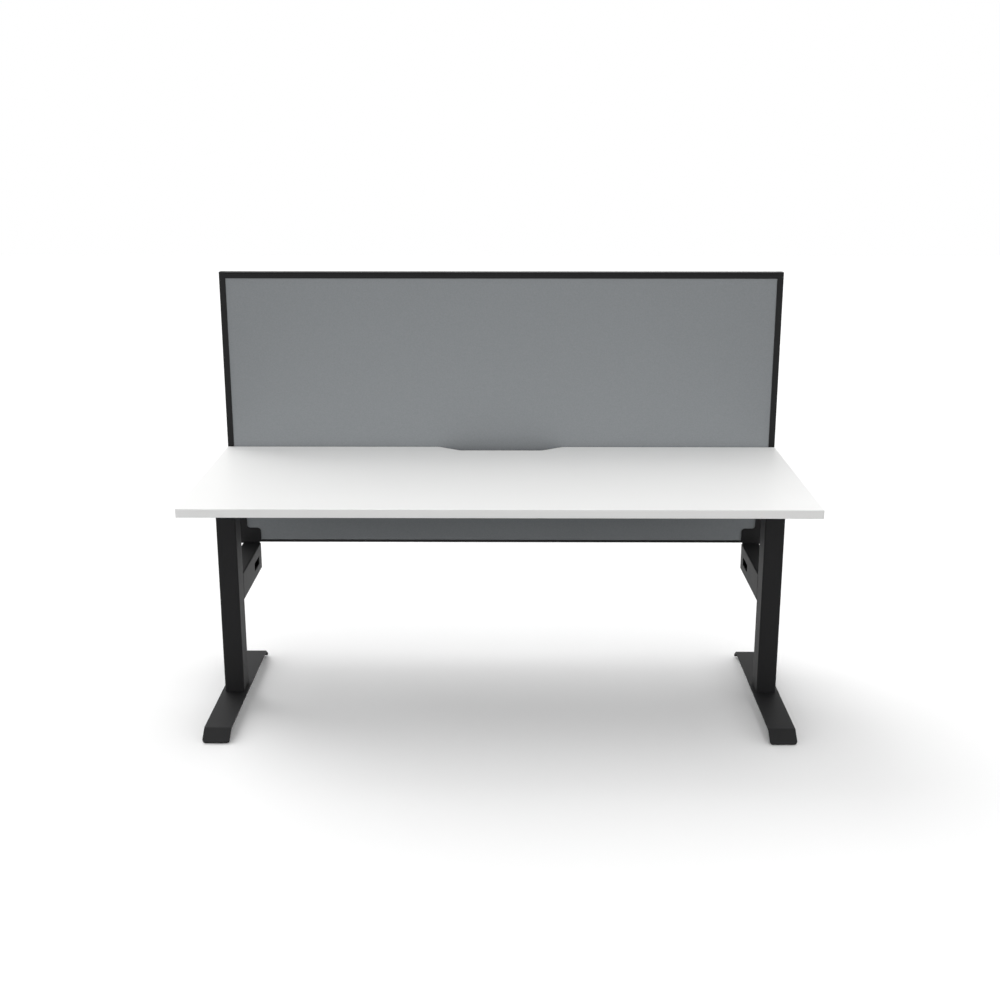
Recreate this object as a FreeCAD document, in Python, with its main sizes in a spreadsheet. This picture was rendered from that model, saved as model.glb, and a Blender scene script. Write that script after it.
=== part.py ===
import FreeCAD, Part
import math
import os
from types import SimpleNamespace

import Sketcher
from FreeCAD import Placement, Rotation, Vector

# Office workstation: a rectangular worktop with a scalloped rear edge on two steel T-legs,
# and a fabric screen that hangs behind it on two folded brackets. Lengths are millimetres.
# X runs to the user's right, Y away from the user, Z up, with the floor at zero.

SIZES = {
    # Worktop: a faced board with thick edge bands and a cable scallop at the back
    "top_length": 1800,
    "top_depth": 750,
    "top_thick": 25,
    "top_height": 730,
    "band_thick": 2,
    "band_round": 1.2,
    "scallop_floor": 266,
    "scallop_mouth": 406,
    "scallop_depth": 50,
    "scallop_round": 25,
    # Screen: extruded rails around a core board faced with fabric on both sides
    "screen_height": 900,
    "screen_base": 400,
    "screen_thick": 30,
    "screen_gap": 3,
    "frame_face": 20,
    "frame_box": 12,
    "frame_wall": 1.6,
    "frame_round": 1,
    "groove_drop": 3.5,
    "groove_tall": 4,
    "groove_deep": 3,
    "base_lip": 8.5,
    "base_floor": 2,
    "cap_thick": 1.6,
    "prong_width": 8,
    "prong_length": 12,
    "core_thick": 24,
    "fabric_thick": 1.3,
    "panel_play": 0.3,
    "joiner_length": 38,
    "joiner_play": 0.2,
    # Legs: columns of rectangular tube on bent plate feet
    "leg_inset": 65,
    "leg_shift": 9,
    "column_width": 60,
    "column_depth": 80,
    "column_wall": 2,
    "column_round": 5,
    "foot_width": 80,
    "foot_inset": 37,
    "toe_run": 42,
    "foot_thick": 6,
    "foot_top": 35,
    "foot_bend": 6,
    "toe_top": 6.5,
    "toe_round": 10,
    "base_thick": 8,
    "base_play": 0.2,
    "base_bolt_spacing": 44,
    # Under-frame: folded top arms joined by two tube rails
    "arm_inset": 84,
    "arm_level": 280,
    "arm_deep": 45,
    "arm_tip": 18,
    "arm_wall": 3,
    "arm_round": 4,
    "rail_width": 25,
    "rail_height": 40,
    "rail_wall": 2,
    "rail_round": 3,
    "rail_offset": 95,
    "plate_length": 75,
    "plate_thick": 4,
    "plate_bolt_spacing": 50,
    "screw_inset": 30,
    "inner_screw_spacing": 260,
    # Screen brackets: a folded channel with a cable slot, two welded plates and a stepped upstand
    "bracket_tall": 85,
    "bracket_wall": 3,
    "bracket_fold": 4,
    "bracket_crease": 1,
    "bottom_thick": 3,
    "bottom_play": 0.2,
    "end_tall": 40,
    "wing_relief": 10,
    "slot_inset": 43,
    "slot_length": 84,
    "slot_tall": 27,
    "slot_drop": 33,
    "slot_round": 5,
    "flange_tall": 75,
    "flange_play": 1,
    "flange_bolt_drop": 25,
    "flange_bolt_spacing": 34,
    "upstand_height": 290,
    "upstand_margin": 1,
    "strip_inner": 15,
    "step_height": 50,
    "step_round": 12,
    "step_hollow": 10,
    "upstand_round": 6,
    "relief_height": 8,
    "relief_round": 1.5,
    "upstand_screw_low": 80,
    "upstand_screw_high": 260,
    # Levelling glides: nylon pads on studs screwed into nuts under the feet
    "glide_inset": 35,
    "pad_diameter": 32,
    "pad_neck": 18,
    "pad_rim": 3,
    "pad_height": 7,
    "pad_socket": 4,
    "collar_height": 4,
    "stud_gap": 0.5,
    "glide_nut_height": 16,
    "glide_play": 0.3,
    # Fasteners
    "bolt_diameter": 8,
    "bolt_flats": 13,
    "bolt_head": 5.5,
    "nut_height": 6.5,
    "base_bolt_length": 16,
    "bracket_bolt_length": 16,
    "rail_bolt_length": 17,
    "thread_play": 0.15,
    "hole_play": 0.5,
    "screw_diameter": 5,
    "screw_head": 8.5,
    "screw_head_height": 2.6,
    "worktop_screw_length": 19,
    "screen_screw_length": 14,
    "frame_screw_length": 18,
    "access_diameter": 10.5,
    "rivet_diameter": 8,
    "rivet_length": 9,
}


class Size:
    """A length held two ways: its formula in the sheet's names and its value for drawing."""

    def __init__(self, formula, value):
        self.formula = formula
        self.value = value

    def joined(self, sign, other, value):
        text = other.formula if isinstance(other, Size) else f"({other})"
        return Size(f"({self.formula} {sign} {text})", value)

    def __add__(self, other):
        return self.joined("+", other, self.value + other.value)

    def __sub__(self, other):
        return self.joined("-", other, self.value - other.value)

    def __neg__(self):
        return Size(f"(0 - {self.formula})", -self.value)

    def __mul__(self, other):
        factor = other.value if isinstance(other, Size) else other
        return self.joined("*", other, self.value * factor)

    def __truediv__(self, other):
        factor = other.value if isinstance(other, Size) else other
        return self.joined("/", other, self.value / factor)


ZERO = Size("0", 0.0)

# The small fasteners and the holes for them are drawn with this many flat sides
ROUND_SIDES = 10
HEX_SIDES = 6


def diagonal(run, rise):
    """The length of a slope from its run and its rise."""
    formula = f"sqrt({run.formula} * {run.formula} + {rise.formula} * {rise.formula})"
    return Size(formula, math.hypot(run.value, rise.value))


doc = FreeCAD.newDocument("workstation")
sheet = doc.addObject("Spreadsheet::Sheet", "Sizes")
for row, (name, number) in enumerate(SIZES.items(), start=1):
    sheet.set(f"A{row}", name)
    sheet.set(f"B{row}", str(number))
    sheet.setAlias(f"B{row}", name)
doc.recompute()
s = SimpleNamespace(**{name: Size(f"Sizes.{name}", float(number)) for name, number in SIZES.items()})
nodes = []


def place(piece, x, y, z):
    """Ties a piece's position to the sheet and lists it for export under its label."""
    piece.Label = piece.Name
    for axis, distance in zip("xyz", (x, y, z)):
        piece.setExpression(f"Placement.Base.{axis}", distance.formula)
    nodes.append(piece)


def new_body(name, x, y, z):
    """An empty body whose own origin stands at a point of the workstation."""
    body = doc.addObject("PartDesign::Body", name)
    place(body, x, y, z)
    return body


def new_box(name, low, extent):
    """A plain block from its lowest corner and its three sizes."""
    box = doc.addObject("Part::Box", name)
    for side, distance in zip(("Length", "Width", "Height"), extent):
        box.setExpression(side, distance.formula)
    place(box, *low)
    return box


def new_sketch(body, name, plane):
    """A sketch lying on one of the body's own origin planes."""
    sketch = body.newObject("Sketcher::SketchObject", name)
    support = next(item for item in body.Origin.OriginFeatures if item.Role == plane)
    sketch.AttachmentSupport = [(support, "")]
    sketch.MapMode = "FlatFace"
    return sketch


def hold(sketch, geometry, point, x, y):
    """Holds one sketch point at its distances from the body's origin."""
    for kind, axis, distance in (("DistanceX", -2, x), ("DistanceY", -1, y)):
        if distance.formula == ZERO.formula:
            sketch.addConstraint(Sketcher.Constraint("PointOnObject", geometry, point, axis))
            continue
        held = Sketcher.Constraint(kind, -1, 1, geometry, point, distance.value)
        index = sketch.addConstraint(held)
        sketch.setExpression(f"Constraints[{index}]", distance.formula)


def add_loop(sketch, corners):
    """Draws a closed outline of straight lines through corners held to the sheet."""
    first = sketch.GeometryCount
    count = len(corners)
    spots = [Vector(x.value, y.value, 0) for x, y in corners]
    for i in range(count):
        sketch.addGeometry(Part.LineSegment(spots[i], spots[(i + 1) % count]), False)
    for i, (x, y) in enumerate(corners):
        sketch.addConstraint(Sketcher.Constraint("Coincident", first + (i - 1) % count, 2, first + i, 1))
        hold(sketch, first + i, 1, x, y)


def add_box_loop(sketch, left, low, right, high):
    """Draws a rectangle between two pairs of limits."""
    add_loop(sketch, [(left, low), (right, low), (right, high), (left, high)])


def add_ring(sketch, x, y, sides, diameter):
    """Draws a regular outline around a point with its corners on the given diameter."""
    corners = []
    for i in range(sides):
        turn = math.tau * i / sides
        shares = (round(math.cos(turn) / 2, 9), round(math.sin(turn) / 2, 9))
        corners.append([at + diameter * share if share else at for at, share in zip((x, y), shares)])
    add_loop(sketch, corners)


def add_hole(sketch, x, y, diameter):
    """Draws a hole for a round shank, whose flat sides touch the circle of the given diameter."""
    add_ring(sketch, x, y, ROUND_SIDES, diameter / math.cos(math.pi / ROUND_SIDES))


def extruded(body, kind, name, sketch, length, side="One side", start=ZERO, flip=False):
    """Pads or pockets a sketch, from a plane moved along its normal by the start."""
    feature = body.newObject(f"PartDesign::{kind}", name)
    feature.Profile = sketch
    feature.SideType = side
    feature.Reversed = flip
    feature.setExpression("Length", length.formula)
    if start.formula != ZERO.formula:
        sketch.setExpression("AttachmentOffset.Base.z", start.formula)
    doc.recompute()
    return feature


def rounded(body, name, radius, points):
    """Rounds the edges of the finished body that pass nearest to the given points."""
    tip = body.Tip
    chosen = []
    for x, y, z in points:
        spot = Part.Vertex(x.value, y.value, z.value)
        gaps = [edge.distToShape(spot)[0] for edge in tip.Shape.Edges]
        chosen.append(f"Edge{gaps.index(min(gaps)) + 1}")
    feature = body.newObject("PartDesign::Fillet", name)
    feature.Base = (tip, sorted(set(chosen)))
    feature.setExpression("Radius", radius.formula)
    doc.recompute()
    return feature


def group(name, shape, spots):
    """One node of identical separate pieces, each turned to its direction at its spot."""
    copies = []
    for x, y, z, direction in spots:
        copy = shape.copy()
        turn = Rotation(Vector(0, 0, 1), direction)
        copy.Placement = Placement(Vector(x.value, y.value, z.value), turn)
        copies.append(copy)
    piece = doc.addObject("Part::Feature", name)
    piece.Shape = Part.makeCompound(copies)
    piece.Label = name
    piece.Placement = Placement()
    nodes.append(piece)


def prism(sides, reach, low, high):
    """A regular prism around Z between two heights, with its corners at the given reach."""
    turns = [math.tau * i / sides for i in range(sides + 1)]
    corners = [Vector(reach.value * math.cos(t), reach.value * math.sin(t), low.value) for t in turns]
    return Part.Face(Part.makePolygon(corners)).extrude(Vector(0, 0, high.value - low.value))


def hex_bolt(length):
    """A hexagon bolt along +Z with the seat of its head at zero."""
    head = prism(HEX_SIDES, s.bolt_flats / math.sqrt(3), -s.bolt_head, ZERO)
    return head.fuse(prism(ROUND_SIDES, s.bolt_diameter / 2, ZERO, length)).removeSplitter()


def hex_nut(height, play):
    """A hexagon nut along +Z with its seat at zero."""
    bore = prism(ROUND_SIDES, s.bolt_diameter / 2 + play, ZERO, height)
    return prism(HEX_SIDES, s.bolt_flats / math.sqrt(3), ZERO, height).cut(bore)


def pan_screw(length):
    """A round-headed screw along +Z with the seat of its head at zero."""
    head = prism(ROUND_SIDES, s.screw_head / 2, -s.screw_head_height, ZERO)
    return head.fuse(prism(ROUND_SIDES, s.screw_diameter / 2, ZERO, length)).removeSplitter()


UP, DOWN = Vector(0, 0, 1), Vector(0, 0, -1)
LEFT, RIGHT = Vector(-1, 0, 0), Vector(1, 0, 0)
AWAY, NEAR = Vector(0, 1, 0), Vector(0, -1, 0)
SIDES = (("left", -1), ("right", 1))
ENDS = (("front", -1), ("rear", 1))

front = -(s.top_depth + s.screen_gap + s.screen_thick) / 2
underside = s.top_height - s.top_thick
half_length = s.top_length / 2
half_top = s.top_depth / 2
leg_setback = half_top + s.leg_shift
leg_y = front + leg_setback
leg_x = half_length - s.leg_inset
screen_front = front + s.top_depth + s.screen_gap
screen_top = s.screen_base + s.screen_height

# Worktop board, cut back by the edge bands all round, with pilot holes for the screws beneath
scallop_run = (s.scallop_mouth - s.scallop_floor) / 2
scallop_slope = diagonal(scallop_run, s.scallop_depth)
mitre = (scallop_slope - scallop_run) / s.scallop_depth * s.band_thick
board_half = half_length - s.band_thick
board_rear = s.top_depth - s.band_thick
floor_y = s.top_depth - s.scallop_depth
board_floor_y = floor_y - s.band_thick
mouth_x = s.scallop_mouth / 2
floor_x = s.scallop_floor / 2
board_mouth_x = mouth_x + mitre
board_floor_x = floor_x + mitre
half_thick = s.top_thick / 2

board = new_body("worktop_board", ZERO, front, underside)
board_sketch = new_sketch(board, "board_outline", "XY_Plane")
add_loop(board_sketch, [
    (-board_half, s.band_thick),
    (board_half, s.band_thick),
    (board_half, board_rear),
    (board_mouth_x, board_rear),
    (board_floor_x, board_floor_y),
    (-board_floor_x, board_floor_y),
    (-board_mouth_x, board_rear),
    (-board_half, board_rear),
])
extruded(board, "Pad", "board_pad", board_sketch, s.top_thick)
rounded(board, "board_scallop_hollows", s.scallop_round + s.band_thick, [
    (board_floor_x, board_floor_y, half_thick),
    (-board_floor_x, board_floor_y, half_thick),
])
rounded(board, "board_scallop_shoulders", s.scallop_round - s.band_thick, [
    (board_mouth_x, board_rear, half_thick),
    (-board_mouth_x, board_rear, half_thick),
])
pilot_sketch = new_sketch(board, "board_pilots", "XY_Plane")
arm_half = leg_setback - s.arm_inset
outer_row = arm_half - s.screw_inset
inner_row = s.inner_screw_spacing / 2
screw_rows = (-outer_row, -inner_row, inner_row, outer_row)
for _, side in SIDES:
    for row in screw_rows:
        add_hole(pilot_sketch, leg_x * side, leg_setback + row, s.screw_diameter + s.thread_play * 2)
extruded(board, "Pocket", "board_pilot_holes", pilot_sketch, s.worktop_screw_length, flip=True)

# Edge bands: the front band runs the full length, the side bands run back from it,
# and the rear band lies between them and follows the scallop
for name, low, high, rim in (
    ("edge_band_front", (-half_length, ZERO), (half_length, s.band_thick), (ZERO, ZERO)),
    ("edge_band_left", (-half_length, s.band_thick), (-board_half, s.top_depth), (-half_length, half_top)),
    ("edge_band_right", (board_half, s.band_thick), (half_length, s.top_depth), (half_length, half_top)),
):
    band = new_body(name, ZERO, front, underside)
    band_sketch = new_sketch(band, f"{name}_outline", "XY_Plane")
    add_box_loop(band_sketch, *low, *high)
    extruded(band, "Pad", f"{name}_pad", band_sketch, s.top_thick)
    rounded(band, f"{name}_arris", s.band_round, [(*rim, ZERO), (*rim, s.top_thick)])

band = new_body("edge_band_rear", ZERO, front, underside)
band_sketch = new_sketch(band, "edge_band_rear_outline", "XY_Plane")
add_loop(band_sketch, [
    (-board_half, s.top_depth),
    (-mouth_x, s.top_depth),
    (-floor_x, floor_y),
    (floor_x, floor_y),
    (mouth_x, s.top_depth),
    (board_half, s.top_depth),
    (board_half, board_rear),
    (board_mouth_x, board_rear),
    (board_floor_x, board_floor_y),
    (-board_floor_x, board_floor_y),
    (-board_mouth_x, board_rear),
    (-board_half, board_rear),
])
extruded(band, "Pad", "edge_band_rear_pad", band_sketch, s.top_thick)
rounded(band, "band_outer_bends", s.scallop_round, [
    (x * side, y, half_thick) for side in (-1, 1) for x, y in ((mouth_x, s.top_depth), (floor_x, floor_y))
])
rounded(band, "band_inner_hollows", s.scallop_round + s.band_thick, [
    (board_floor_x * side, board_floor_y, half_thick) for side in (-1, 1)
])
rounded(band, "band_inner_shoulders", s.scallop_round - s.band_thick, [
    (board_mouth_x * side, board_rear, half_thick) for side in (-1, 1)
])
rounded(band, "edge_band_rear_arris", s.band_round, [(ZERO, floor_y, ZERO), (ZERO, floor_y, s.top_thick)])

# Feet: one steel plate each, bent down to a sloping toe at both ends, with bolt holes for the column
tip_y = leg_setback - s.foot_inset
foot_half = tip_y - s.toe_run
toe_drop = s.foot_top - s.toe_top
toe_slope = diagonal(s.toe_run, toe_drop)
heel_y = foot_half - (toe_slope - s.toe_run) / toe_drop * s.foot_thick
foot_under = s.foot_top - s.foot_thick
sole_y = tip_y - toe_drop / toe_slope * s.foot_thick
sole_z = s.toe_top - s.toe_run / toe_slope * s.foot_thick
half_foot = s.foot_width / 2
base_bolt_y = s.base_bolt_spacing / 2
bolt_hole = s.bolt_diameter + s.hole_play * 2

for word, side in SIDES:
    foot = new_body(f"foot_{word}", leg_x * side, leg_y, ZERO)
    foot_sketch = new_sketch(foot, f"foot_{word}_profile", "YZ_Plane")
    add_loop(foot_sketch, [
        (-tip_y, s.toe_top),
        (-foot_half, s.foot_top),
        (foot_half, s.foot_top),
        (tip_y, s.toe_top),
        (sole_y, sole_z),
        (heel_y, foot_under),
        (-heel_y, foot_under),
        (-sole_y, sole_z),
    ])
    extruded(foot, "Pad", f"foot_{word}_pad", foot_sketch, s.foot_width, side="Symmetric")
    rounded(foot, f"foot_{word}_toe_corners", s.toe_round, [
        (half_foot * across, (tip_y + sole_y) * along / 2, (s.toe_top + sole_z) / 2)
        for across in (-1, 1)
        for along in (-1, 1)
    ])
    rounded(foot, f"foot_{word}_outer_bends", s.foot_bend + s.foot_thick, [
        (ZERO, foot_half * along, s.foot_top) for along in (-1, 1)
    ])
    rounded(foot, f"foot_{word}_inner_bends", s.foot_bend, [
        (ZERO, heel_y * along, foot_under) for along in (-1, 1)
    ])
    foot_holes = new_sketch(foot, f"foot_{word}_holes", "XY_Plane")
    for along in (-1, 1):
        add_hole(foot_holes, ZERO, base_bolt_y * along, bolt_hole)
    extruded(foot, "Pocket", f"foot_{word}_bolt_holes", foot_holes, s.foot_top * 2, side="Symmetric")

# Columns: rectangular steel tube standing on the foot, with a threaded plate welded in its
# lower end and two holes in its rear wall for the screen bracket
half_width = s.column_width / 2
half_depth = s.column_depth / 2
column_top = underside - s.arm_wall
column_height = column_top - s.foot_top
bracket_bolt_high = s.screen_base - s.flange_bolt_drop
bracket_bolt_low = bracket_bolt_high - s.flange_bolt_spacing
bracket_bolts_z = (bracket_bolt_high, bracket_bolt_low)
bore_half_width = half_width - s.column_wall
bore_half_depth = half_depth - s.column_wall

for word, side in SIDES:
    column = new_body(f"column_{word}", leg_x * side, leg_y, s.foot_top)
    column_sketch = new_sketch(column, f"column_{word}_section", "XY_Plane")
    add_box_loop(column_sketch, -half_width, -half_depth, half_width, half_depth)
    add_box_loop(column_sketch, -bore_half_width, -bore_half_depth, bore_half_width, bore_half_depth)
    extruded(column, "Pad", f"column_{word}_pad", column_sketch, column_height)
    middle = column_height / 2
    rounded(column, f"column_{word}_outer_corners", s.column_round, [
        (half_width * across, half_depth * along, middle) for across in (-1, 1) for along in (-1, 1)
    ])
    rounded(column, f"column_{word}_inner_corners", s.column_round - s.column_wall, [
        (bore_half_width * across, bore_half_depth * along, middle)
        for across in (-1, 1)
        for along in (-1, 1)
    ])
    column_holes = new_sketch(column, f"column_{word}_holes", "XZ_Plane")
    for height in bracket_bolts_z:
        add_hole(column_holes, ZERO, height - s.foot_top, bolt_hole)
    extruded(column, "Pocket", f"column_{word}_bolt_holes", column_holes, s.column_depth)

    base = new_body(f"column_base_{word}", leg_x * side, leg_y, s.foot_top)
    base_sketch = new_sketch(base, f"column_base_{word}_outline", "XY_Plane")
    base_half_width = bore_half_width - s.base_play
    base_half_depth = bore_half_depth - s.base_play
    add_box_loop(base_sketch, -base_half_width, -base_half_depth, base_half_width, base_half_depth)
    extruded(base, "Pad", f"column_base_{word}_pad", base_sketch, s.base_thick)
    rounded(base, f"column_base_{word}_corners", s.column_round - s.column_wall, [
        (base_half_width * across, base_half_depth * along, s.base_thick / 2)
        for across in (-1, 1)
        for along in (-1, 1)
    ])
    base_holes = new_sketch(base, f"column_base_{word}_holes", "XY_Plane")
    for along in (-1, 1):
        add_hole(base_holes, ZERO, base_bolt_y * along, s.bolt_diameter + s.thread_play * 2)
    extruded(base, "Pocket", f"column_base_{word}_threads", base_holes, s.base_thick * 2, side="Symmetric")

# Top arms: folded channels over the column heads, tapering towards both edges of the worktop
level_half = s.arm_level / 2
arm_half_width = half_width + s.arm_wall
rail_axis_z = underside - s.rail_height / 2
plate_bolt_y = s.plate_bolt_spacing / 2
rail_bolt_rows = [
    s.rail_offset * end + plate_bolt_y * along for _, end in ENDS for along in (-1, 1)
]

for word, side in SIDES:
    arm = new_body(f"top_arm_{word}", leg_x * side, leg_y, underside)
    arm_sketch = new_sketch(arm, f"top_arm_{word}_profile", "YZ_Plane")
    add_loop(arm_sketch, [
        (-arm_half, ZERO),
        (-arm_half, -s.arm_tip),
        (-level_half, -s.arm_deep),
        (level_half, -s.arm_deep),
        (arm_half, -s.arm_tip),
        (arm_half, ZERO),
    ])
    extruded(arm, "Pad", f"top_arm_{word}_pad", arm_sketch, arm_half_width * 2, side="Symmetric")
    rounded(arm, f"top_arm_{word}_folds", s.arm_round, [
        (arm_half_width * across, ZERO, ZERO) for across in (-1, 1)
    ])
    hollow_sketch = new_sketch(arm, f"top_arm_{word}_hollow", "XZ_Plane")
    add_box_loop(hollow_sketch, -half_width, -s.arm_deep * 2, half_width, -s.arm_wall)
    extruded(arm, "Pocket", f"top_arm_{word}_channel", hollow_sketch, arm_half * 4, side="Symmetric")
    arm_holes = new_sketch(arm, f"top_arm_{word}_screw_holes", "XY_Plane")
    for row in screw_rows:
        add_hole(arm_holes, ZERO, row, s.screw_diameter + s.hole_play * 2)
    extruded(arm, "Pocket", f"top_arm_{word}_screw_cuts", arm_holes, s.arm_wall * 4, side="Symmetric")
    bolt_holes = new_sketch(arm, f"top_arm_{word}_bolt_holes", "YZ_Plane")
    for row in rail_bolt_rows:
        add_hole(bolt_holes, row, rail_axis_z - underside, bolt_hole)
    extruded(arm, "Pocket", f"top_arm_{word}_bolt_cuts", bolt_holes, s.column_width, flip=side < 0)

# Rails: two tubes under the worktop with a welded plate at each end, bolted to the arms
plate_inner = leg_x - arm_half_width - s.plate_thick
half_rail = s.rail_width / 2
rail_half_height = s.rail_height / 2
rail_bore = half_rail - s.rail_wall
rail_bore_height = rail_half_height - s.rail_wall

for end_word, end in ENDS:
    rail_y = leg_y + s.rail_offset * end
    rail = new_body(f"rail_{end_word}", ZERO, rail_y, rail_axis_z)
    rail_sketch = new_sketch(rail, f"rail_{end_word}_section", "YZ_Plane")
    add_box_loop(rail_sketch, -half_rail, -rail_half_height, half_rail, rail_half_height)
    add_box_loop(rail_sketch, -rail_bore, -rail_bore_height, rail_bore, rail_bore_height)
    extruded(rail, "Pad", f"rail_{end_word}_pad", rail_sketch, plate_inner * 2, side="Symmetric")
    rounded(rail, f"rail_{end_word}_outer_corners", s.rail_round, [
        (ZERO, half_rail * across, rail_half_height * along) for across in (-1, 1) for along in (-1, 1)
    ])
    rounded(rail, f"rail_{end_word}_inner_corners", s.rail_round - s.rail_wall, [
        (ZERO, rail_bore * across, rail_bore_height * along) for across in (-1, 1) for along in (-1, 1)
    ])
    for word, side in SIDES:
        name = f"rail_plate_{end_word}_{word}"
        plate = new_body(name, (plate_inner + s.plate_thick / 2) * side, rail_y, rail_axis_z)
        plate_sketch = new_sketch(plate, f"{name}_outline", "YZ_Plane")
        half_plate = s.plate_length / 2
        add_box_loop(plate_sketch, -half_plate, -rail_half_height, half_plate, rail_half_height)
        for along in (-1, 1):
            add_hole(plate_sketch, plate_bolt_y * along, ZERO, bolt_hole)
        extruded(plate, "Pad", f"{name}_pad", plate_sketch, s.plate_thick, side="Symmetric")

# Screen brackets: an inverted channel folded from sheet, with a flange on the column, a cable
# slot in its inner wing and a stepped upstand that carries the screen. A bottom plate and a low
# end plate are welded between the wings, and cables leave the rear end over the low plate
reach = s.top_depth + s.screen_gap - leg_setback - half_depth
wing_reach = reach - s.wing_relief
slot_end = wing_reach - s.slot_inset
slot_start = slot_end - s.slot_length
upstand_face = reach - s.bracket_wall
wing_inner = half_width - s.bracket_wall
flange_half = wing_inner - s.flange_play
bottom_half = wing_inner - s.bottom_play
bottom_top = s.screen_base - s.bracket_tall + s.bottom_thick
upstand_screws = (s.upstand_screw_low, s.upstand_screw_high)
upstand_outer = s.leg_inset - s.upstand_margin
screw_out = s.leg_inset - s.frame_box / 2

for word, side in SIDES:
    inward = -side
    bracket = new_body(f"screen_bracket_{word}", leg_x * side, leg_y + half_depth, s.screen_base)
    wing_sketch = new_sketch(bracket, f"bracket_{word}_wings", "XZ_Plane")
    add_loop(wing_sketch, [
        (-half_width, -s.bracket_tall),
        (-half_width, ZERO),
        (half_width, ZERO),
        (half_width, -s.bracket_tall),
        (wing_inner, -s.bracket_tall),
        (wing_inner, -s.bracket_wall),
        (-wing_inner, -s.bracket_wall),
        (-wing_inner, -s.bracket_tall),
    ])
    extruded(bracket, "Pad", f"bracket_{word}_channel", wing_sketch, wing_reach, flip=True)
    rounded(bracket, f"bracket_{word}_folds", s.bracket_fold, [
        (half_width * across, wing_reach / 2, ZERO) for across in (-1, 1)
    ])
    rounded(bracket, f"bracket_{word}_creases", s.bracket_crease, [
        (wing_inner * across, wing_reach / 2, -s.bracket_wall) for across in (-1, 1)
    ])
    tail_sketch = new_sketch(bracket, f"bracket_{word}_tail", "XY_Plane")
    tail_half = half_width - s.bracket_fold
    tail_start = wing_reach - s.bracket_wall
    add_box_loop(tail_sketch, -tail_half, tail_start, tail_half, reach)
    extruded(bracket, "Pad", f"bracket_{word}_tail_pad", tail_sketch, s.bracket_wall, flip=True)
    upstand_sketch = new_sketch(bracket, f"bracket_{word}_upstand", "XZ_Plane")
    add_loop(upstand_sketch, [
        (-upstand_outer * inward, -s.bracket_wall),
        (tail_half * inward, -s.bracket_wall),
        (tail_half * inward, s.relief_height),
        (half_width * inward, s.relief_height),
        (half_width * inward, s.step_height),
        (-s.strip_inner * inward, s.step_height),
        (-s.strip_inner * inward, s.upstand_height),
        (-upstand_outer * inward, s.upstand_height),
    ])
    extruded(
        bracket,
        "Pad",
        f"bracket_{word}_upstand_pad",
        upstand_sketch,
        s.bracket_wall,
        start=-upstand_face,
        flip=True,
    )
    upstand_middle = upstand_face + s.bracket_wall / 2
    rounded(bracket, f"bracket_{word}_step_corner", s.step_round, [
        (half_width * inward, upstand_middle, s.step_height),
    ])
    rounded(bracket, f"bracket_{word}_step_hollow", s.step_hollow, [
        (-s.strip_inner * inward, upstand_middle, s.step_height),
    ])
    rounded(bracket, f"bracket_{word}_upstand_corners", s.upstand_round, [
        (-s.strip_inner * inward, upstand_middle, s.upstand_height),
        (-upstand_outer * inward, upstand_middle, s.upstand_height),
    ])
    rounded(bracket, f"bracket_{word}_reliefs", s.relief_round, [
        (half_width * inward, upstand_middle, s.relief_height),
        (tail_half * inward, upstand_middle, s.relief_height),
    ])
    rounded(bracket, f"bracket_{word}_rear_fold", s.bracket_fold, [(ZERO, reach, -s.bracket_wall)])
    rounded(bracket, f"bracket_{word}_rear_crease", s.bracket_crease, [(ZERO, upstand_face, ZERO)])
    flange_sketch = new_sketch(bracket, f"bracket_{word}_flange", "XZ_Plane")
    add_box_loop(flange_sketch, -flange_half, -s.flange_tall, flange_half, -s.bracket_wall)
    for height in bracket_bolts_z:
        add_hole(flange_sketch, ZERO, height - s.screen_base, bolt_hole)
    extruded(bracket, "Pad", f"bracket_{word}_flange_pad", flange_sketch, s.bracket_wall, flip=True)
    slot_sketch = new_sketch(bracket, f"bracket_{word}_slot", "YZ_Plane")
    slot_low = -(s.slot_drop + s.slot_tall)
    add_box_loop(slot_sketch, slot_start, slot_low, slot_end, -s.slot_drop)
    extruded(bracket, "Pocket", f"bracket_{word}_slot_cut", slot_sketch, s.column_width, flip=inward > 0)
    wall_middle = (half_width - s.bracket_wall / 2) * inward
    rounded(bracket, f"bracket_{word}_slot_corners", s.slot_round, [
        (wall_middle, y, z) for y in (slot_start, slot_end) for z in (slot_low, -s.slot_drop)
    ])
    hole_sketch = new_sketch(bracket, f"bracket_{word}_screw_holes", "XZ_Plane")
    for height in upstand_screws:
        add_hole(hole_sketch, screw_out * side, height, s.screw_diameter + s.hole_play * 2)
    extruded(bracket, "Pocket", f"bracket_{word}_screw_cuts", hole_sketch, reach * 4, side="Symmetric")

    new_box(
        f"bracket_bottom_{word}",
        (leg_x * side - bottom_half, leg_y + half_depth, s.screen_base - s.bracket_tall),
        (bottom_half * 2, wing_reach, s.bottom_thick),
    )
    new_box(
        f"bracket_end_{word}",
        (leg_x * side - bottom_half, leg_y + half_depth + tail_start, bottom_top),
        (bottom_half * 2, s.bracket_wall, s.end_tall),
    )

# Screen rails: side extrusions the full height between end caps, a grooved top extrusion
# between them and a shallow channel along the bottom
rail_low = s.screen_base + s.cap_thick
rail_length = s.screen_height - s.cap_thick * 2
rear_lip = s.screen_thick - s.frame_wall
chamber = s.frame_box - s.frame_wall
mid_thick = s.screen_thick / 2
joiner_z = screen_top - s.frame_box / 2
screen_screw_x = leg_x + screw_out
rail_screw_x = s.frame_box / 2

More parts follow.
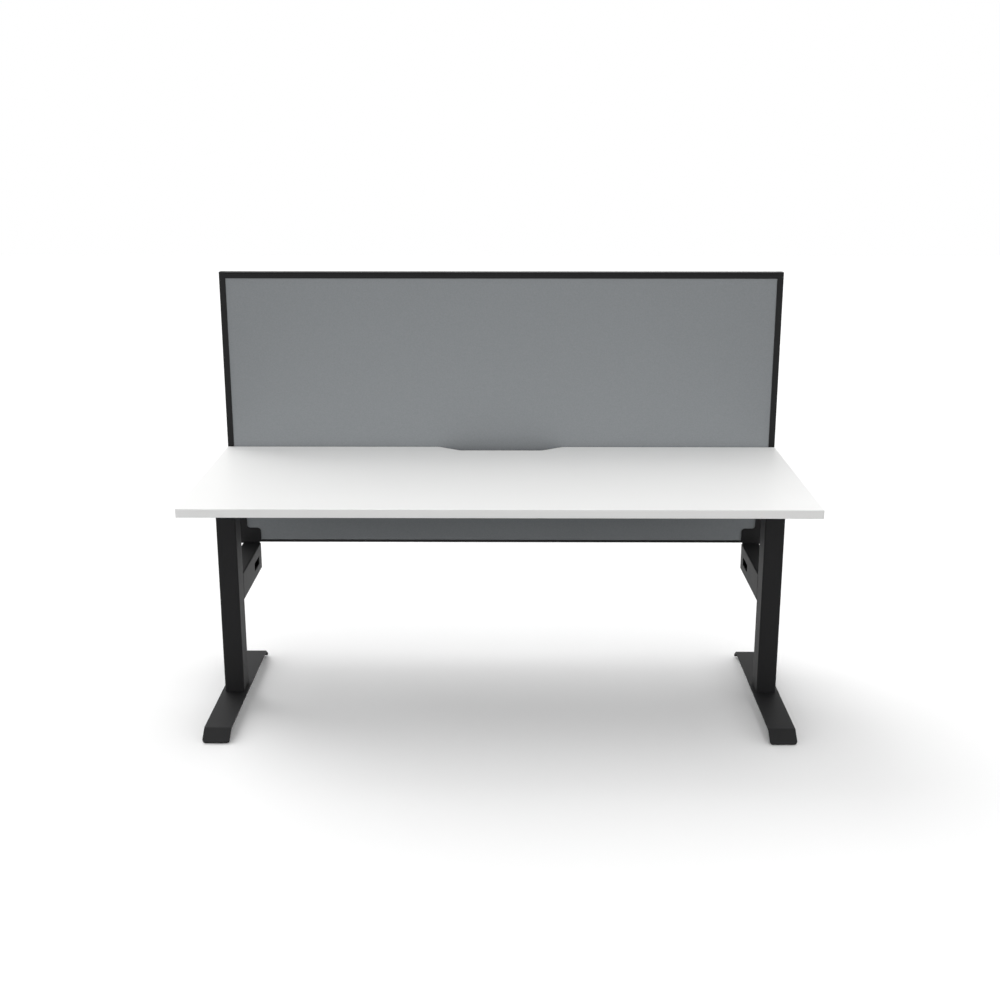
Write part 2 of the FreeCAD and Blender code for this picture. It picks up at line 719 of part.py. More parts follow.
for word, side in SIDES:
    inward = -side
    label = f"screen_rail_{word}"
    rail = new_body(label, half_length * side, screen_front, rail_low)
    rail_sketch = new_sketch(rail, f"{label}_section", "XY_Plane")
    add_loop(rail_sketch, [
        (ZERO, ZERO),
        (s.frame_face * inward, ZERO),
        (s.frame_face * inward, s.frame_wall),
        (s.frame_box * inward, s.frame_wall),
        (s.frame_box * inward, rear_lip),
        (s.frame_face * inward, rear_lip),
        (s.frame_face * inward, s.screen_thick),
        (ZERO, s.screen_thick),
    ])
    add_box_loop(rail_sketch, s.frame_wall * inward, s.frame_wall, chamber * inward, rear_lip)
    extruded(rail, "Pad", f"{label}_pad", rail_sketch, rail_length)
    rounded(rail, f"{label}_edges", s.frame_round, [
        (ZERO, ZERO, rail_length / 2),
        (ZERO, s.screen_thick, rail_length / 2),
    ])
    screw_sketch = new_sketch(rail, f"{label}_screw_holes", "XZ_Plane")
    for height in upstand_screws:
        spot_z = height - s.cap_thick
        add_hole(screw_sketch, rail_screw_x * inward, spot_z, s.screw_diameter + s.thread_play * 2)
    extruded(rail, "Pocket", f"{label}_screw_cuts", screw_sketch, s.screen_thick, side="Symmetric")
    entry_sketch = new_sketch(rail, f"{label}_entry", "YZ_Plane")
    add_hole(entry_sketch, mid_thick, joiner_z - rail_low, s.access_diameter)
    extruded(rail, "Pocket", f"{label}_entry_cut", entry_sketch, s.frame_wall * 4, side="Symmetric")
    joint_sketch = new_sketch(rail, f"{label}_joint", "YZ_Plane")
    add_hole(joint_sketch, mid_thick, joiner_z - rail_low, s.screw_diameter + s.hole_play * 2)
    extruded(rail, "Pocket", f"{label}_joint_cut", joint_sketch, s.frame_face * 4, side="Symmetric")

    for level, low, grow in (("top", screen_top - s.cap_thick, -1), ("bottom", s.screen_base, 1)):
        name = f"screen_cap_{level}_{word}"
        cap = new_body(name, half_length * side, screen_front, low)
        cap_sketch = new_sketch(cap, f"{name}_outline", "XY_Plane")
        add_box_loop(cap_sketch, ZERO, ZERO, s.frame_face * inward, s.screen_thick)
        extruded(cap, "Pad", f"{name}_pad", cap_sketch, s.cap_thick)
        rounded(cap, f"{name}_corners", s.frame_round, [
            (ZERO, ZERO, s.cap_thick / 2),
            (ZERO, s.screen_thick, s.cap_thick / 2),
        ])
        prong_sketch = new_sketch(cap, f"{name}_prongs", "XY_Plane")
        prong_outer = (s.frame_wall + s.joiner_play) * inward
        prong_inner = (chamber - s.joiner_play) * inward
        near = s.frame_wall + s.joiner_play
        far = rear_lip - s.joiner_play
        add_box_loop(prong_sketch, prong_outer, near, prong_inner, near + s.prong_width)
        add_box_loop(prong_sketch, prong_outer, far - s.prong_width, prong_inner, far)
        extruded(
            cap,
            "Pad",
            f"{name}_prong_pad",
            prong_sketch,
            s.prong_length,
            start=s.cap_thick if grow > 0 else ZERO,
            flip=grow < 0,
        )

span = s.top_length - s.frame_face * 2
groove_low = -(s.groove_drop + s.groove_tall)
top_rail = new_body("screen_rail_top", ZERO, screen_front, screen_top)
top_sketch = new_sketch(top_rail, "screen_rail_top_section", "YZ_Plane")
rear_groove = s.screen_thick - s.groove_deep
add_loop(top_sketch, [
    (ZERO, ZERO),
    (ZERO, -s.groove_drop),
    (s.groove_deep, -s.groove_drop),
    (s.groove_deep, groove_low),
    (ZERO, groove_low),
    (ZERO, -s.frame_face),
    (s.frame_wall, -s.frame_face),
    (s.frame_wall, -s.frame_box),
    (rear_lip, -s.frame_box),
    (rear_lip, -s.frame_face),
    (s.screen_thick, -s.frame_face),
    (s.screen_thick, groove_low),
    (rear_groove, groove_low),
    (rear_groove, -s.groove_drop),
    (s.screen_thick, -s.groove_drop),
    (s.screen_thick, ZERO),
])
bore_near = s.groove_deep + s.frame_wall
bore_far = s.screen_thick - bore_near
add_box_loop(top_sketch, bore_near, -chamber, bore_far, -s.frame_wall)
extruded(top_rail, "Pad", "screen_rail_top_pad", top_sketch, span, side="Symmetric")
rounded(top_rail, "screen_rail_top_edges", s.frame_round, [
    (ZERO, ZERO, ZERO),
    (ZERO, s.screen_thick, ZERO),
])

base_rail = new_body("screen_rail_bottom", ZERO, screen_front, s.screen_base)
channel_sketch = new_sketch(base_rail, "screen_rail_bottom_section", "YZ_Plane")
add_loop(channel_sketch, [
    (ZERO, ZERO),
    (s.screen_thick, ZERO),
    (s.screen_thick, s.base_lip),
    (rear_lip, s.base_lip),
    (rear_lip, s.base_floor),
    (s.frame_wall, s.base_floor),
    (s.frame_wall, s.base_lip),
    (ZERO, s.base_lip),
])
extruded(base_rail, "Pad", "screen_rail_bottom_pad", channel_sketch, span, side="Symmetric")
rounded(base_rail, "screen_rail_bottom_edges", s.frame_round, [
    (ZERO, ZERO, ZERO),
    (ZERO, s.screen_thick, ZERO),
])

# Joiners: blocks that slide into the top rail and are screwed to the side rails
joiner_half = (bore_far - bore_near) / 2 - s.joiner_play
joiner_tall = (chamber - s.frame_wall) / 2 - s.joiner_play
for word, side in SIDES:
    name = f"screen_joiner_{word}"
    joiner = new_body(name, (half_length - s.frame_box) * side, screen_front + mid_thick, joiner_z)
    joiner_sketch = new_sketch(joiner, f"{name}_section", "YZ_Plane")
    add_box_loop(joiner_sketch, -joiner_half, -joiner_tall, joiner_half, joiner_tall)
    add_hole(joiner_sketch, ZERO, ZERO, s.screw_diameter + s.thread_play * 2)
    extruded(joiner, "Pad", f"{name}_pad", joiner_sketch, s.joiner_length, flip=side > 0)

# Screen panel: a core board with fabric facings held behind the lips of the rails
panel_half = half_length - s.frame_box - s.panel_play
panel_low = s.screen_base + s.base_floor
panel_tall = s.screen_height - s.base_floor - s.frame_box - s.panel_play
core_front = screen_front + (s.screen_thick - s.core_thick) / 2
core = new_body("screen_core", ZERO, core_front, panel_low)
core_sketch = new_sketch(core, "screen_core_outline", "XY_Plane")
add_box_loop(core_sketch, -panel_half, ZERO, panel_half, s.core_thick)
extruded(core, "Pad", "screen_core_pad", core_sketch, panel_tall)
facing = (panel_half * 2, s.fabric_thick, panel_tall)
new_box("screen_fabric_front", (-panel_half, core_front - s.fabric_thick, panel_low), facing)
new_box("screen_fabric_rear", (-panel_half, core_front + s.core_thick, panel_low), facing)

# Levelling glides: a nylon pad with a sloping shoulder and a socket, and a stud with a hexagon collar
PAD_SIDES = 24
glide_y = foot_half - s.glide_inset
socket_floor = s.pad_height - s.pad_socket
shoulder_drop = s.pad_height - s.pad_rim
shoulder_run = (s.pad_diameter - s.pad_neck) * (math.cos(math.pi / PAD_SIDES) / 2)
for end_word, end in ENDS:
    for word, side in SIDES:
        spot = (leg_x * side, leg_y + glide_y * end)
        name = f"glide_pad_{end_word}_{word}"
        pad = new_body(name, *spot, ZERO)
        disc_sketch = new_sketch(pad, f"{name}_outline", "XY_Plane")
        add_ring(disc_sketch, ZERO, ZERO, PAD_SIDES, s.pad_diameter)
        disc = extruded(pad, "Pad", f"{name}_disc", disc_sketch, s.pad_height)
        top_edges = [
            f"Edge{number}"
            for number, edge in enumerate(disc.Shape.Edges, start=1)
            if edge.BoundBox.ZMin > s.pad_rim.value
        ]
        shoulder = pad.newObject("PartDesign::Chamfer", f"{name}_shoulder")
        shoulder.Base = (disc, top_edges)
        shoulder.ChamferType = "Two distances"
        shoulder.FlipDirection = True
        shoulder.setExpression("Size", shoulder_run.formula)
        shoulder.setExpression("Size2", shoulder_drop.formula)
        doc.recompute()
        socket_sketch = new_sketch(pad, f"{name}_socket", "XY_Plane")
        add_hole(socket_sketch, ZERO, ZERO, s.bolt_diameter + s.glide_play * 2)
        extruded(pad, "Pocket", f"{name}_socket_cut", socket_sketch, s.pad_socket, start=s.pad_height)

        name = f"glide_stud_{end_word}_{word}"
        stud = new_body(name, *spot, ZERO)
        shank_sketch = new_sketch(stud, f"{name}_shank", "XY_Plane")
        add_ring(shank_sketch, ZERO, ZERO, ROUND_SIDES, s.bolt_diameter)
        shank_low = socket_floor + s.glide_play
        shank_length = foot_under - s.stud_gap - shank_low
        extruded(stud, "Pad", f"{name}_shank_pad", shank_sketch, shank_length, start=shank_low)
        collar_sketch = new_sketch(stud, f"{name}_collar", "XY_Plane")
        add_ring(collar_sketch, ZERO, ZERO, HEX_SIDES, s.bolt_flats * (2 / math.sqrt(3)))
        extruded(stud, "Pad", f"{name}_collar_pad", collar_sketch, s.collar_height, start=s.pad_height)

# Fasteners, one node for each kind
leg_spots = [(leg_x * side, leg_y + glide_y * end) for _, side in SIDES for _, end in ENDS]
group("glide_nuts", hex_nut(s.glide_nut_height, s.glide_play), [
    (x, y, foot_under, DOWN) for x, y in leg_spots
])
group("foot_bolts", hex_bolt(s.base_bolt_length), [
    (leg_x * side, leg_y + base_bolt_y * along, foot_under, UP) for _, side in SIDES for along in (-1, 1)
])
group("bracket_bolts", hex_bolt(s.bracket_bolt_length), [
    (leg_x * side, leg_y + half_depth + s.bracket_wall, z, NEAR)
    for _, side in SIDES
    for z in bracket_bolts_z
])
group("bracket_nuts", hex_nut(s.nut_height, s.thread_play), [
    (leg_x * side, leg_y + bore_half_depth, z, NEAR) for _, side in SIDES for z in bracket_bolts_z
])
group("rail_bolts", hex_bolt(s.rail_bolt_length), [
    (plate_inner * side, leg_y + row, rail_axis_z, RIGHT if side > 0 else LEFT)
    for _, side in SIDES
    for row in rail_bolt_rows
])
group("rail_nuts", hex_nut(s.nut_height, s.thread_play), [
    ((leg_x - half_width) * side, leg_y + row, rail_axis_z, RIGHT if side > 0 else LEFT)
    for _, side in SIDES
    for row in rail_bolt_rows
])
group("worktop_screws", pan_screw(s.worktop_screw_length), [
    (leg_x * side, leg_y + row, column_top, UP) for _, side in SIDES for row in screw_rows
])
screen_screw_spots = [
    (screen_screw_x * side, s.screen_base + height)
    for _, side in SIDES
    for height in upstand_screws
]
group("screen_screws", pan_screw(s.screen_screw_length), [
    (x, screen_front - s.bracket_wall, z, AWAY) for x, z in screen_screw_spots
])
rivet_bore = prism(ROUND_SIDES, s.screw_diameter / 2 + s.thread_play, ZERO, s.rivet_length)
rivet_nut = prism(ROUND_SIDES, s.rivet_diameter / 2, ZERO, s.rivet_length).cut(rivet_bore)
group("screen_rivet_nuts", rivet_nut, [
    (x, screen_front + s.frame_wall, z, AWAY) for x, z in screen_screw_spots
])
group("frame_screws", pan_screw(s.frame_screw_length), [
    ((half_length - chamber) * side, screen_front + mid_thick, joiner_z, LEFT if side > 0 else RIGHT)
    for _, side in SIDES
])

# Every feature must have built and every node must hold sound solids before it is written
doc.recompute()
for item in doc.Objects:
    if {"Invalid", "Error"} & set(item.State):
        raise RuntimeError(f"{item.Name} did not build: {item.State}")
os.makedirs("parts", exist_ok=True)
for piece in nodes:
    if piece.Shape.isNull() or not piece.Shape.isValid() or not piece.Shape.Solids:
        raise RuntimeError(f"{piece.Label} has no sound solid")
    piece.Shape.exportStep(f"parts/{piece.Label}.step")
print(len(nodes), "nodes written")
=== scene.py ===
import math

import bpy
import numpy as np
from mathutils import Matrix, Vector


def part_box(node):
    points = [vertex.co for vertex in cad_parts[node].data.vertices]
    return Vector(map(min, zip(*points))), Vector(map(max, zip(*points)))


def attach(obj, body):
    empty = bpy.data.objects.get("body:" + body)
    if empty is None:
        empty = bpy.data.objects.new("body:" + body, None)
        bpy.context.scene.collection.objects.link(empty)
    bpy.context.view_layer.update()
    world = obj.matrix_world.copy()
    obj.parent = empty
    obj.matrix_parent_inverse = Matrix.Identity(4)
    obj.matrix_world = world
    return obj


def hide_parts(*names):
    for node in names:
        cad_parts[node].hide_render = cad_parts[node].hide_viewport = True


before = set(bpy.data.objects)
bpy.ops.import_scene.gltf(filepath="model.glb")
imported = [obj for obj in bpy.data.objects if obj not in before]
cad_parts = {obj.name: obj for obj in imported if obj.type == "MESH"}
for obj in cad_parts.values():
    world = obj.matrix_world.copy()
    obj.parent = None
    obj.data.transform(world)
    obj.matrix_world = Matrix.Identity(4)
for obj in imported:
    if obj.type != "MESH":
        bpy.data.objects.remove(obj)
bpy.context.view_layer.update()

# Feet: two strips of 6 mm steel plate, each bent down to a sloping toe at both ends. They are
# cut, drilled and bent first, and then coated with black powder that is baked to a satin grain.
MM = 0.001
POWDER_CLOUD_GRAINS = 90
POWDER_RELIEF_SHARE = 0.06
POWDER_GLOSS_SWING = 0.06


def linear(colour):
    """An sRGB hex colour as linear red, green and blue with full alpha."""
    parts = [int(colour[i:i + 2], 16) / 255 for i in (1, 3, 5)]
    return [p / 12.92 if p <= 0.04045 else ((p + 0.055) / 1.055) ** 2.4 for p in parts] + [1.0]


def add_node(material, kind, settings=None, links=None):
    """Adds one node, sets its sockets and properties by name, and links outputs into its sockets."""
    node = material.node_tree.nodes.new(kind)
    for name, value in (settings or {}).items():
        if isinstance(name, int) or name in node.inputs:
            node.inputs[name].default_value = value
        else:
            setattr(node, name, value)
    for name, output in (links or {}).items():
        material.node_tree.links.new(output, node.inputs[name])
    return node


def new_material(name, settings):
    """A material with one principled shader, its plain values set, and its Object coordinates."""
    material = bpy.data.materials.new(name)
    material.use_nodes = True
    shader = material.node_tree.nodes["Principled BSDF"]
    for socket, value in settings.items():
        shader.inputs[socket].default_value = value
    place = add_node(material, "ShaderNodeTexCoord").outputs["Object"]
    return material, shader, place


def dress(material, *names):
    """Gives CAD pieces one material in place of the plain one that they were packed with."""
    for name in names:
        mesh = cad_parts[name].data
        mesh.materials.clear()
        mesh.materials.append(material)


def powder_coat(name, colour, worn_colour, roughness, grain):
    """Baked powder: a dark satin skin. Its grain, in millimetres, varies the colour and lifts the
    surface, and broad clouds vary the gloss."""
    material, shader, place = new_material(name, {"Specular IOR Level": 0.19, "IOR": 1.5})
    speckle = add_node(
        material,
        "ShaderNodeTexNoise",
        {"Scale": 1 / (grain * MM), "Detail": 3.0, "Roughness": 0.6},
        {"Vector": place},
    )
    cloud = add_node(
        material,
        "ShaderNodeTexNoise",
        {"Scale": 1 / (POWDER_CLOUD_GRAINS * grain * MM), "Detail": 2.0},
        {"Vector": place},
    )
    tone = add_node(
        material,
        "ShaderNodeMix",
        {"data_type": "RGBA", 6: linear(colour), 7: linear(worn_colour)},
        {0: speckle.outputs["Fac"]},
    )
    gloss = add_node(
        material,
        "ShaderNodeMapRange",
        {"To Min": roughness - POWDER_GLOSS_SWING, "To Max": roughness + POWDER_GLOSS_SWING},
        {"Value": cloud.outputs["Fac"]},
    )
    relief = add_node(
        material,
        "ShaderNodeBump",
        {"Strength": 0.35, "Distance": POWDER_RELIEF_SHARE * grain * MM},
        {"Height": speckle.outputs["Fac"]},
    )
    links = material.node_tree.links
    links.new(tone.outputs[2], shader.inputs["Base Color"])
    links.new(gloss.outputs["Result"], shader.inputs["Roughness"])
    links.new(relief.outputs["Normal"], shader.inputs["Normal"])
    return material


# The real grain is about 0.4 mm, too fine to show from here, so it is drawn at 2.4 mm
black_steel = powder_coat("black_powder_coated_steel", "#131314", "#1f1f20", roughness=0.58, grain=2.4)
dress(black_steel, "foot_left", "foot_right")

# Levelling glides: a moulded nylon pad under a zinc-plated stud with a hexagon collar. Each stud
# turns in a long nut welded under the foot, so each pad and each stud is a body of its own.
GLIDES = [f"{end}_{side}" for end in ("front", "rear") for side in ("left", "right")]
ZINC_PATCH = 6 * MM


def zinc_plate(name):
    """Bright zinc plate: a pale metal whose passivation leaves soft patches of gloss."""
    material, shader, place = new_material(name, {"Metallic": 1.0})
    patches = add_node(
        material,
        "ShaderNodeTexNoise",
        {"Scale": 1 / ZINC_PATCH, "Detail": 4.0},
        {"Vector": place},
    )
    tone = add_node(
        material,
        "ShaderNodeMix",
        {"data_type": "RGBA", 6: linear("#b4b3ac"), 7: linear("#cfced0")},
        {0: patches.outputs["Fac"]},
    )
    gloss = add_node(
        material,
        "ShaderNodeMapRange",
        {"To Min": 0.28, "To Max": 0.46},
        {"Value": patches.outputs["Fac"]},
    )
    material.node_tree.links.new(tone.outputs[2], shader.inputs["Base Color"])
    material.node_tree.links.new(gloss.outputs["Result"], shader.inputs["Roughness"])
    return material


# Moulded nylon has a like grain, only finer, so it is made by the same function
black_nylon = powder_coat("moulded_black_nylon", "#0f0f10", "#161617", roughness=0.52, grain=1.6)
zinc_steel = zinc_plate("zinc_plated_steel")
dress(black_nylon, *[f"glide_pad_{corner}" for corner in GLIDES])
dress(zinc_steel, "glide_nuts", *[f"glide_stud_{corner}" for corner in GLIDES])

# Columns: rectangular steel tube, 80 by 60 mm, with a threaded plate welded inside the lower end
# that takes the foot's two bolts. They have the same black powder coat as the feet.
dress(black_steel, "column_left", "column_right", "column_base_left", "column_base_right")
dress(zinc_steel, "foot_bolts")

# Screen brackets: one blank of 3 mm sheet each, folded to an inverted channel with a cable slot in
# its inner wing, and welded plates at its bottom and rear end. A flange is bolted to the column, and
# a stepped upstand holds the screen.
for side in ("left", "right"):
    dress(black_steel, f"screen_bracket_{side}", f"bracket_bottom_{side}", f"bracket_end_{side}")
dress(zinc_steel, "bracket_bolts", "bracket_nuts")

# Under-frame: folded channels over the column heads and two tube rails between them, with a
# plate welded to each rail end that is bolted to the channel.
dress(black_steel, "top_arm_left", "top_arm_right", "rail_front", "rail_rear")
dress(black_steel, *[f"rail_plate_{corner}" for corner in GLIDES])
dress(zinc_steel, "rail_bolts", "rail_nuts")

# Worktop: a 25 mm chipboard faced with white melamine. The press plate leaves a fine stipple
# that spreads its gloss, and the board is screwed to the channels from below.
MELAMINE_DRIFT = 220 * MM
STIPPLE_RELIEF_SHARE = 0.03
STIPPLE_GLOSS_SWING = 0.05


def melamine(name, light, shade, roughness, stipple):
    """A pressed white laminate: nearly even colour, with a stipple of pits given in millimetres."""
    material, shader, place = new_material(name, {"IOR": 1.5, "Specular IOR Level": 0.4})
    pits = add_node(
        material,
        "ShaderNodeTexNoise",
        {"Scale": 1 / (stipple * MM), "Detail": 2.0, "Roughness": 0.45},
        {"Vector": place},
    )
    drift = add_node(
        material,
        "ShaderNodeTexNoise",
        {"Scale": 1 / MELAMINE_DRIFT, "Detail": 1.0},
        {"Vector": place},
    )
    tone = add_node(
        material,
        "ShaderNodeMix",
        {"data_type": "RGBA", 6: linear(light), 7: linear(shade)},
        {0: drift.outputs["Fac"]},
    )
    gloss = add_node(
        material,
        "ShaderNodeMapRange",
        {"To Min": roughness - STIPPLE_GLOSS_SWING, "To Max": roughness + STIPPLE_GLOSS_SWING},
        {"Value": pits.outputs["Fac"]},
    )
    relief = add_node(
        material,
        "ShaderNodeBump",
        {"Strength": 0.2, "Distance": STIPPLE_RELIEF_SHARE * stipple * MM},
        {"Height": pits.outputs["Fac"]},
    )
    links = material.node_tree.links
    links.new(tone.outputs[2], shader.inputs["Base Color"])
    links.new(gloss.outputs["Result"], shader.inputs["Roughness"])
    links.new(relief.outputs["Normal"], shader.inputs["Normal"])
    return material


# The real stipple is about 0.6 mm and is drawn at 3 mm, the finest that shows from here
white_board = melamine("white_melamine_board", "#f3f3f2", "#f1f1f0", roughness=0.45, stipple=3.0)
dress(white_board, "worktop_board")
dress(zinc_steel, "worktop_screws")

# Edge bands: 2 mm white ABS strip glued round the board with its long edges rounded over. It is
# a little smoother than the face, and the rear strip is bent to follow the scallop.
white_band = melamine("white_abs_edge_band", "#f3f3f2", "#f1f1f0", roughness=0.38, stipple=2.0)
dress(white_band, *[f"edge_band_{edge}" for edge in ("front", "left", "right", "rear")])

# Screen frame: four aluminium extrusions round the panel with a smooth black powder coat. Nylon
# caps close the side rails, and screwed joiners hold the grooved top rail between them.
black_rail = powder_coat("black_coated_aluminium", "#121213", "#1b1b1c", roughness=0.42, grain=1.8)
dress(black_rail, *[f"screen_rail_{edge}" for edge in ("left", "right", "top", "bottom")])
for end in ("top", "bottom"):
    dress(black_nylon, f"screen_cap_{end}_left", f"screen_cap_{end}_right")
dress(black_nylon, "screen_joiner_left", "screen_joiner_right")
dress(zinc_steel, "screen_screws", "screen_rivet_nuts", "frame_screws")

# Screen core: a soft fibre board, cut to the size inside the rails, that stiffens the panel. Its
# edges sit in the rails, and the cloth covers both of its faces.
FIBRE_SIZE = 3 * MM


def fibre_board(name):
    """Raw fibre board: pressed tan fibres, mixed from two tones by a fine noise."""
    material, shader, place = new_material(name, {"Roughness": 0.9, "Specular IOR Level": 0.2})
    fibres = add_node(
        material,
        "ShaderNodeTexNoise",
        {"Scale": 1 / FIBRE_SIZE, "Detail": 6.0, "Roughness": 0.7},
        {"Vector": place},
    )
    tone = add_node(
        material,
        "ShaderNodeMix",
        {"data_type": "RGBA", 6: linear("#a58a6c"), 7: linear("#cdb796")},
        {0: fibres.outputs["Fac"]},
    )
    material.node_tree.links.new(tone.outputs[2], shader.inputs["Base Color"])
    return material


dress(fibre_board("raw_fibre_board"), "screen_core")

# Screen cloth: a grey woven polyester stretched over each face of the core and turned back at its
# edges behind the lips of the rails. It lies taut and very slightly proud of its own edges.
CLOTH_ROLL = 1.0 * MM
CLOTH_THICK = 0.9 * MM
CLOTH_CROWN = 0.4 * MM
CLOTH_RISE = 40 * MM
TURN_POINTS = 7
FLECK_THREADS = 2
WEAVE_RELIEF_SHARE = 0.15
# At a scale of 1 a wave texture turns by 20 radians in each unit of length
WAVE_RADIANS = 20


def cloth_run(low, high, steps):
    """Places along one direction of the cloth, with how far it lies back and how far in from its edge.
    It runs straight between two quarter circles, each of the roll's radius, that turn it back."""
    middle, half = (low + high) / 2, (high - low) / 2
    turn = np.linspace(0, math.pi / 2, TURN_POINTS)
    arc = half - CLOTH_ROLL + CLOTH_ROLL * np.sin(turn)
    straight = np.linspace(CLOTH_ROLL - half, half - CLOTH_ROLL, steps)
    sag = CLOTH_ROLL * (1 - np.cos(turn))
    place = np.concatenate([-arc[:0:-1], straight, arc[1:]])
    back = np.concatenate([sag[:0:-1], np.zeros(steps), sag[1:]])
    return middle + place, back, half - np.abs(place)


def stretched_cloth(name, node, outward):
    """A grid over the panel's width and height. Its depth is the further back of the two edge turns,
    less a low crown that rises smoothly from the edges."""
    low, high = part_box(node)
    x, back_x, inset_x = cloth_run(low[0], high[0], steps=61)
    z, back_z, inset_z = cloth_run(low[2], high[2], steps=31)
    rise = np.clip(np.minimum(inset_x[:, None], inset_z[None, :]) / CLOTH_RISE, 0, 1)
    crown = CLOTH_CROWN * rise * rise * (3 - 2 * rise)
    face = low[1] if outward < 0 else high[1]
    depth = face + outward * (crown - np.maximum(back_x[:, None], back_z[None, :]))
    points = np.stack(np.broadcast_arrays(x[:, None], depth, z[None, :]), axis=-1)
    rows, columns = depth.shape
    index = np.arange(rows * columns).reshape(rows, columns)
    quads = np.stack([index[:-1, :-1], index[1:, :-1], index[1:, 1:], index[:-1, 1:]], axis=-1)
    quads = quads.reshape(-1, 4)[:, ::-outward]
    mesh = bpy.data.meshes.new(name)
    mesh.from_pydata(points.reshape(-1, 3).tolist(), [], quads.tolist())
    mesh.polygons.foreach_set("use_smooth", np.ones(len(mesh.polygons), dtype=bool))
    cloth = bpy.data.objects.new(name, mesh)
    bpy.context.scene.collection.objects.link(cloth)
    wall = cloth.modifiers.new("cloth_thickness", "SOLIDIFY")
    wall.thickness = CLOTH_THICK
    wall.offset = -1.0
    turned = (math.pi - 2) * CLOTH_ROLL
    return cloth, (high[0] - low[0] + turned, high[2] - low[2] + turned)


def woven_cloth(name, thread):
    """Plain weave: two sine waves at right angles, with half a wave to a thread, are multiplied to
    lift warp and weft by turns, and a mottle of flecks varies the yarn."""
    material, shader, place = new_material(
        name,
        {"Roughness": 0.92, "Specular IOR Level": 0.2, "Sheen Weight": 0.08, "Sheen Roughness": 0.5},
    )
    repeat = {"Scale": math.pi / (WAVE_RADIANS * thread * MM), "Detail": 0.0, "Distortion": 0.0}
    warp = add_node(
        material, "ShaderNodeTexWave", {"bands_direction": "X", **repeat}, {"Vector": place}
    )
    weft = add_node(
        material, "ShaderNodeTexWave", {"bands_direction": "Z", **repeat}, {"Vector": place}
    )
    over = [
        add_node(material, "ShaderNodeMath", {"operation": "SUBTRACT", 1: 0.5}, {0: yarn.outputs["Fac"]})
        for yarn in (warp, weft)
    ]
    lift = add_node(
        material, "ShaderNodeMath", {"operation": "MULTIPLY"}, {0: over[0].outputs[0], 1: over[1].outputs[0]}
    )
    flecks = add_node(
        material,
        "ShaderNodeTexNoise",
        {"Scale": 1 / (FLECK_THREADS * thread * MM), "Detail": 2.0, "Roughness": 0.6},
        {"Vector": place},
    )
    shade = add_node(
        material, "ShaderNodeMath", {"operation": "ADD"}, {0: lift.outputs[0], 1: flecks.outputs["Fac"]}
    )
    tone = add_node(
        material,
        "ShaderNodeMix",
        {"data_type": "RGBA", 6: linear("#7f8385"), 7: linear("#8e9194")},
        {0: shade.outputs[0]},
    )
    relief = add_node(
        material,
        "ShaderNodeBump",
        {"Strength": 0.4, "Distance": WEAVE_RELIEF_SHARE * thread * MM},
        {"Height": lift.outputs[0]},
    )
    links = material.node_tree.links
    links.new(tone.outputs[2], shader.inputs["Base Color"])
    links.new(relief.outputs["Normal"], shader.inputs["Normal"])
    return material


# The real threads are about 0.7 mm apart and are drawn at 2 mm, so that the weave shows close up
grey_cloth = woven_cloth("grey_woven_polyester", thread=2.0)
for face, outward in (("front", -1), ("rear", 1)):
    node = f"screen_fabric_{face}"
    cloth, cut = stretched_cloth(f"screen_cloth_{face}", node, outward)
    cloth.data.materials.append(grey_cloth)
    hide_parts(node)
    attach(cloth, "desk")

# Studio: a white floor that keeps the soft shadow, a ring of soft light low down all round, a broad
# lamp straight overhead, and another on the left and behind that draws the shadow forward.
FLOOR_HALF = 14.0
SKY_LOW = 1.75
SKY_HIGH = 0.34
SKY_FADE_START = 0.34
SKY_FADE_END = 0.64
LAMP_HEIGHT = 4.0


def seen_directly(holder):
    """One where a ray comes from the camera, a reflection or glass, and zero where it only lights."""
    path = add_node(holder, "ShaderNodeLightPath")
    mirrored = add_node(
        holder,
        "ShaderNodeMath",
        {"operation": "MAXIMUM"},
        {0: path.outputs["Is Glossy Ray"], 1: path.outputs["Is Transmission Ray"]},
    )
    seen = add_node(
        holder,
        "ShaderNodeMath",
        {"operation": "MAXIMUM"},
        {0: path.outputs["Is Camera Ray"], 1: mirrored.outputs[0]},
    )
    return seen.outputs[0]


floor_mesh = bpy.data.meshes.new("floor")
span = np.array([-FLOOR_HALF, FLOOR_HALF])
floor_points = np.stack([*np.meshgrid(span, span), np.zeros((2, 2))], axis=-1).reshape(-1, 3)
floor_mesh.from_pydata(floor_points.tolist(), [], [(0, 1, 3, 2)])
floor = bpy.data.objects.new("floor", floor_mesh)
bpy.context.scene.collection.objects.link(floor)
white_floor, floor_shader, _ = new_material(
    "white_studio_floor",
    {"Roughness": 1.0, "Specular IOR Level": 0.0},
)
floor_tone = add_node(
    white_floor,
    "ShaderNodeMix",
    {"data_type": "RGBA", 6: linear("#464646"), 7: linear("#ffffff")},
    {0: seen_directly(white_floor)},
)
white_floor.node_tree.links.new(floor_tone.outputs[2], floor_shader.inputs["Base Color"])
floor_mesh.materials.append(white_floor)

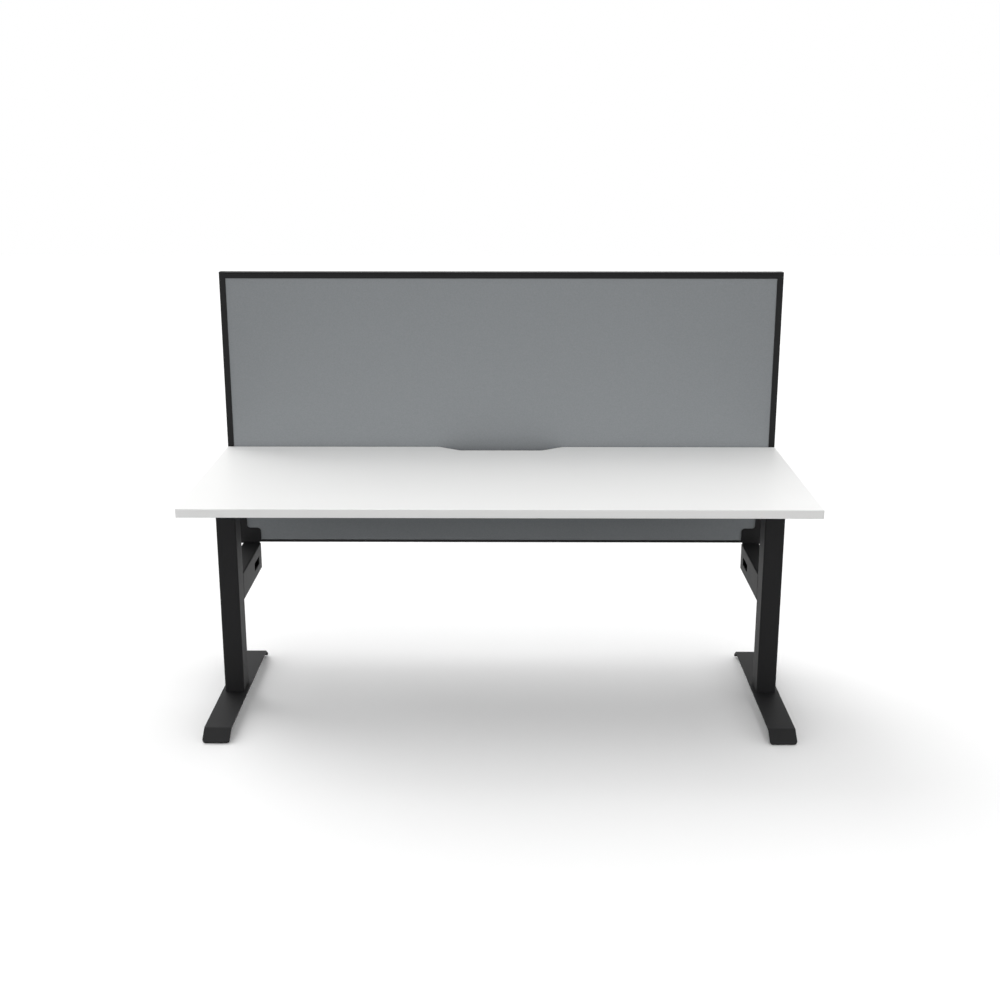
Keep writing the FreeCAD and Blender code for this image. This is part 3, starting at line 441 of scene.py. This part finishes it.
sky = bpy.data.worlds.new("studio")
sky.use_nodes = True
direction = add_node(sky, "ShaderNodeTexCoord").outputs["Generated"]
height = add_node(sky, "ShaderNodeSeparateXYZ", None, {"Vector": direction}).outputs["Z"]
shade = add_node(
    sky,
    "ShaderNodeMapRange",
    {
        "interpolation_type": "SMOOTHSTEP",
        "From Min": SKY_FADE_START,
        "From Max": SKY_FADE_END,
        "To Min": SKY_LOW,
        "To Max": SKY_HIGH,
    },
    {"Value": height},
)
level = add_node(
    sky,
    "ShaderNodeMix",
    {"data_type": "FLOAT", 3: 1.0},
    {0: seen_directly(sky), 2: shade.outputs["Result"]},
)
background = sky.node_tree.nodes["Background"]
background.inputs["Color"].default_value = linear("#ffffff")
sky.node_tree.links.new(level.outputs[0], background.inputs["Strength"])
bpy.context.scene.world = sky


def add_lamp(name, turn, spread, level):
    """A soft even lamp that shines straight down until it is turned about X and Y, in degrees."""
    lamp = bpy.data.lights.new(name, "SUN")
    lamp.energy = level
    lamp.angle = math.radians(spread)
    holder = bpy.data.objects.new(name, lamp)
    holder.location = (0, 0, LAMP_HEIGHT)
    holder.rotation_euler = (math.radians(turn[0]), math.radians(turn[1]), 0)
    bpy.context.scene.collection.objects.link(holder)


add_lamp("overhead_lamp", turn=(0, 0), spread=50, level=0.8)
add_lamp("rear_lamp", turn=(-32, -32), spread=40, level=0.92)

# Camera: it stands before the middle of the desk, 1.79 m up, and looks down on the worktop with a
# normal lens. The lengths are in metres, the lens and its sensor in millimetres.
CAMERA_PLACE = (0.02745, -4.0847, 1.7907)
CAMERA_TILT = 74.3775
CAMERA_TURN = 0.39277
CAMERA_LENS = 49.93
CAMERA_SENSOR = 36.0
camera = bpy.data.objects.new("camera", bpy.data.cameras.new("camera"))
camera.data.sensor_width = CAMERA_SENSOR
camera.data.lens = CAMERA_LENS
camera.location = CAMERA_PLACE
camera.rotation_euler = (math.radians(CAMERA_TILT), 0, math.radians(CAMERA_TURN))
bpy.context.scene.collection.objects.link(camera)
bpy.context.scene.camera = camera
bpy.context.scene.view_settings.view_transform = "Standard"

bpy.context.view_layer.update()
